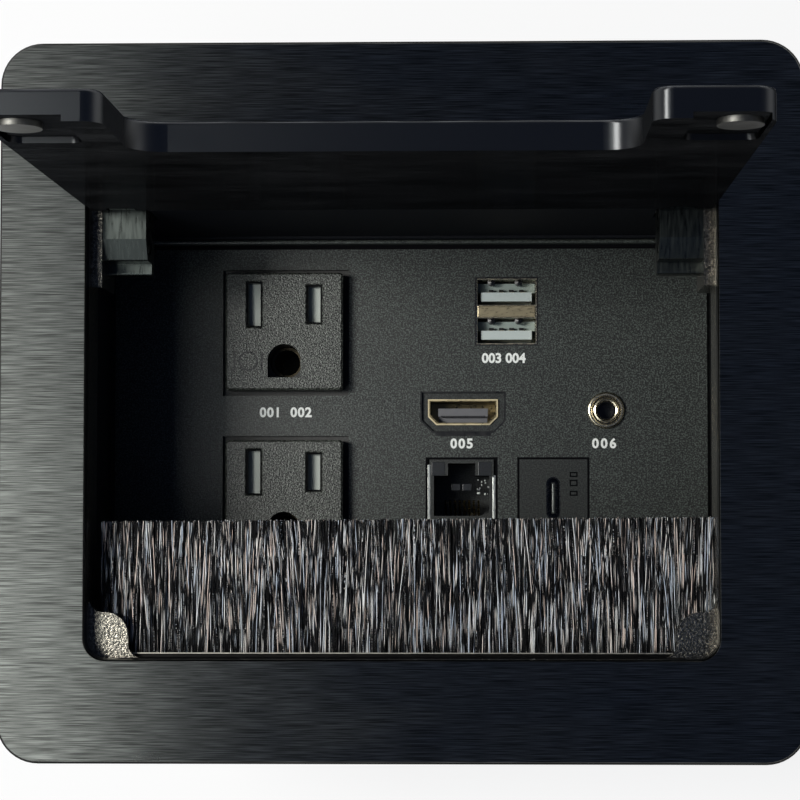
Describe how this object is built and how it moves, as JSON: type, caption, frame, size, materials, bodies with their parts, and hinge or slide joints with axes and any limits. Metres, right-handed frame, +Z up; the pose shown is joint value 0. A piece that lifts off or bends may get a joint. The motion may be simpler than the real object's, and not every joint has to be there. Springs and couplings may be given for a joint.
{
  "type": "in-desk connectivity box",
  "caption": "In-desk power and data box: flip lid with cable notch, brush outlet, sunk socket panel, flange, housing and desk clamps.",
  "frame": {"origin": "middle of the flange's underside, which rests on the desk", "axes": "+X to the right of someone who faces the open lid, +Y towards the hinge side, +Z up out of the desk"},
  "size_m": [0.1532, 0.1372, 0.1704],
  "materials": {
    "brushed_black": "brushed, black anodised",
    "rough_cast": "rough casting, black",
    "foam": "closed-cell foam",
    "magnet_grey": "plain grey plated disc",
    "black_steel": "black zinc",
    "shell_steel": "black powder coat",
    "powder_panel": "fine sand texture, dark grey",
    "outlet_plastic": "fine spark texture",
    "back_plastic": "plain moulding, black",
    "shutter_grey": "smooth, light grey",
    "brass": "bright",
    "nickel": "nickel plated",
    "pale_plastic": "smooth, pale",
    "contact_gold": "gold flashed",
    "circuit_board": "solder mask",
    "port_plastic": "black moulding",
    "gold_rim": "gold flashed shell",
    "tongue_grey": "moulded grey",
    "shield_steel": "tinned sheet",
    "holder_metal": "extrusion, plain",
    "bristle": "black nylon filament",
    "block_metal": "gloss black",
    "pin_steel": "ground pin",
    "gland_plastic": "moulded nylon, black",
    "clamp_steel": "zinc plated",
    "knob_metal": "black, fluted",
    "terminal_plastic": "natural nylon",
    "wire_cover": "smooth cover"
  },
  "bodies": {
    "frame": {"audio_jack_barrel": "nickel", "audio_jack_body": "port_plastic", "audio_jack_nut": "nickel", "bezel_plate": "brushed_black", "bottom_cover": "shell_steel", "brush_bristles": "bristle", "brush_holder": "holder_metal", "brush_screws": "black_steel", "charge_port_contacts": "contact_gold", "charge_port_shell": "nickel", "charge_port_tongues": "pale_plastic", "charger_board": "circuit_board", "charger_case": "port_plastic", "clamp_nuts": "clamp_steel", "collar_casting": "rough_cast", "collar_screws": "black_steel", "cord_gland": "gland_plastic", "cover_screws": "black_steel", "desk_gasket": "foam", "gland_cap": "gland_plastic", "gland_nut": "gland_plastic", "hinge_block_left": "block_metal", "hinge_block_right": "block_metal", "hinge_block_screws": "black_steel", "housing_shell": "shell_steel", "mains_wires": "wire_cover", "network_jack_body": "port_plastic", "network_jack_contacts": "contact_gold", "network_jack_shield": "shield_steel", "oval_port_body": "port_plastic", "oval_port_shell": "nickel", "oval_port_tongue": "port_plastic", "panel_rail_left": "black_steel", "panel_rail_right": "black_steel", "panel_screws": "black_steel", "rear_baffle": "black_steel", "receptacle_back_lower": "back_plastic", "receptacle_back_upper": "back_plastic", "receptacle_contacts_lower": "brass", "receptacle_contacts_upper": "brass", "receptacle_face_lower": "outlet_plastic", "receptacle_face_upper": "outlet_plastic", "rest_magnets": "magnet_grey", "rivets": "black_steel", "shell_screws": "black_steel", "socket_panel": "powder_panel", "terminal_block": "terminal_plastic", "video_port_body": "port_plastic", "video_port_shell": "gold_rim", "video_port_tongue": "tongue_grey"},
    "lid": {"lid_plate": "brushed_black", "lid_magnets": "magnet_grey", "hinge_pin_right": "pin_steel", "hinge_pin_left": "pin_steel"},
    "shutter_upper": {"shutter_upper": "shutter_grey"},
    "shutter_lower": {"shutter_lower": "shutter_grey"},
    "clamp_right": {"clamp_bracket_right": "clamp_steel"},
    "clamp_left": {"clamp_bracket_left": "clamp_steel"},
    "knob_right": {"clamp_knob_right": "knob_metal"},
    "knob_left": {"clamp_knob_left": "knob_metal"}
  },
  "joints": [
    {"name": "lid_hinge", "type": "hinge", "parent": "frame", "child": "lid", "pos_m": [0, 0.0392, 0.0005], "axis": [1, 0, 0], "range_deg": [-10, 90]},
    {"name": "shutter_upper_slide", "type": "slide", "parent": "frame", "child": "shutter_upper", "axis": [1, 0, 0], "range_m": [0, 0.003], "stiffness_N_per_m": 60, "springref_m": -0.001},
    {"name": "shutter_lower_slide", "type": "slide", "parent": "frame", "child": "shutter_lower", "axis": [1, 0, 0], "range_m": [0, 0.003], "stiffness_N_per_m": 60, "springref_m": -0.001},
    {"name": "clamp_right_slide", "type": "slide", "parent": "frame", "child": "clamp_right", "axis": [0, 0, 1], "range_m": [-0.004, 0.019]},
    {"name": "knob_right_turn", "type": "hinge", "parent": "frame", "child": "knob_right", "pos_m": [0.07, -0.003, -0.054], "axis": [1, 0, 0], "continuous": true},
    {"name": "clamp_left_slide", "type": "slide", "parent": "frame", "child": "clamp_left", "axis": [0, 0, 1], "range_m": [-0.004, 0.019]},
    {"name": "knob_left_turn", "type": "hinge", "parent": "frame", "child": "knob_left", "pos_m": [-0.07, -0.003, -0.054], "axis": [-1, 0, 0], "continuous": true}
  ]
}
